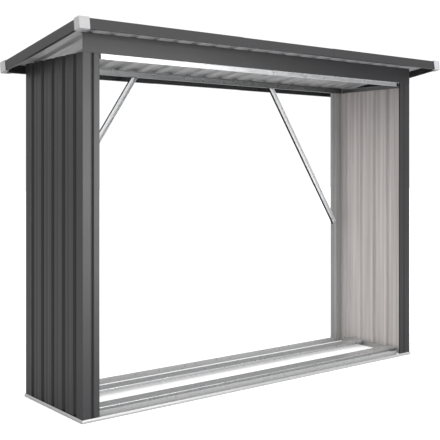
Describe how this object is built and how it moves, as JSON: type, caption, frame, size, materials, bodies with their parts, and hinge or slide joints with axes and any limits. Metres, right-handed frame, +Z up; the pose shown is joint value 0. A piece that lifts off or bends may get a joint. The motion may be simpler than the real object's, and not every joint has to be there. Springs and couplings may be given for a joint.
{
  "type": "open-fronted metal log store",
  "caption": "Open-fronted steel log store: ribbed side walls on a galvanised frame, corner braces and a ribbed lean-to roof, for stacking and airing firewood.",
  "frame": {"origin": "on the ground, at the middle of the overall plan", "axes": "+X along the width, +Y from the open front to the rear, +Z up"},
  "size_m": [2.1576, 0.7164, 1.5684],
  "materials": {
    "galvanised_steel": "hot-dip galvanised, fine spangle",
    "painted_steel": "anthracite polyester coil coating, satin",
    "ribbed_sheet": "anthracite coil coating outside, light grey back coat inside",
    "cap_plastic": "moulded light grey, fine matt texture"
  },
  "bodies": {
    "root": {"base_rail_front": "galvanised_steel", "base_rail_rear": "galvanised_steel", "base_rail_left": "galvanised_steel", "base_rail_right": "galvanised_steel", "floor_rail_front": "galvanised_steel", "floor_rail_rear": "galvanised_steel", "top_rail_front": "galvanised_steel", "top_rail_rear": "galvanised_steel", "top_rail_left": "galvanised_steel", "top_rail_right": "galvanised_steel", "brace_left": "galvanised_steel", "brace_right": "galvanised_steel", "post_front_left": "painted_steel", "post_front_right": "painted_steel", "post_rear_left": "painted_steel", "post_rear_right": "painted_steel", "header_board": "painted_steel", "roof_trim_front_left": "painted_steel", "roof_trim_front_middle": "painted_steel", "roof_trim_front_right": "painted_steel", "roof_trim_rear_left": "painted_steel", "roof_trim_rear_middle": "painted_steel", "roof_trim_rear_right": "painted_steel", "roof_trim_left": "painted_steel", "roof_trim_right": "painted_steel", "wall_sheet_left": "ribbed_sheet", "wall_sheet_right": "ribbed_sheet", "roof_sheet_left": "ribbed_sheet", "roof_sheet_middle": "ribbed_sheet", "roof_sheet_right": "ribbed_sheet", "corner_cap_front_left": "cap_plastic", "corner_cap_front_right": "cap_plastic", "corner_cap_rear_left": "cap_plastic", "corner_cap_rear_right": "cap_plastic"}
  },
  "joints": []
}
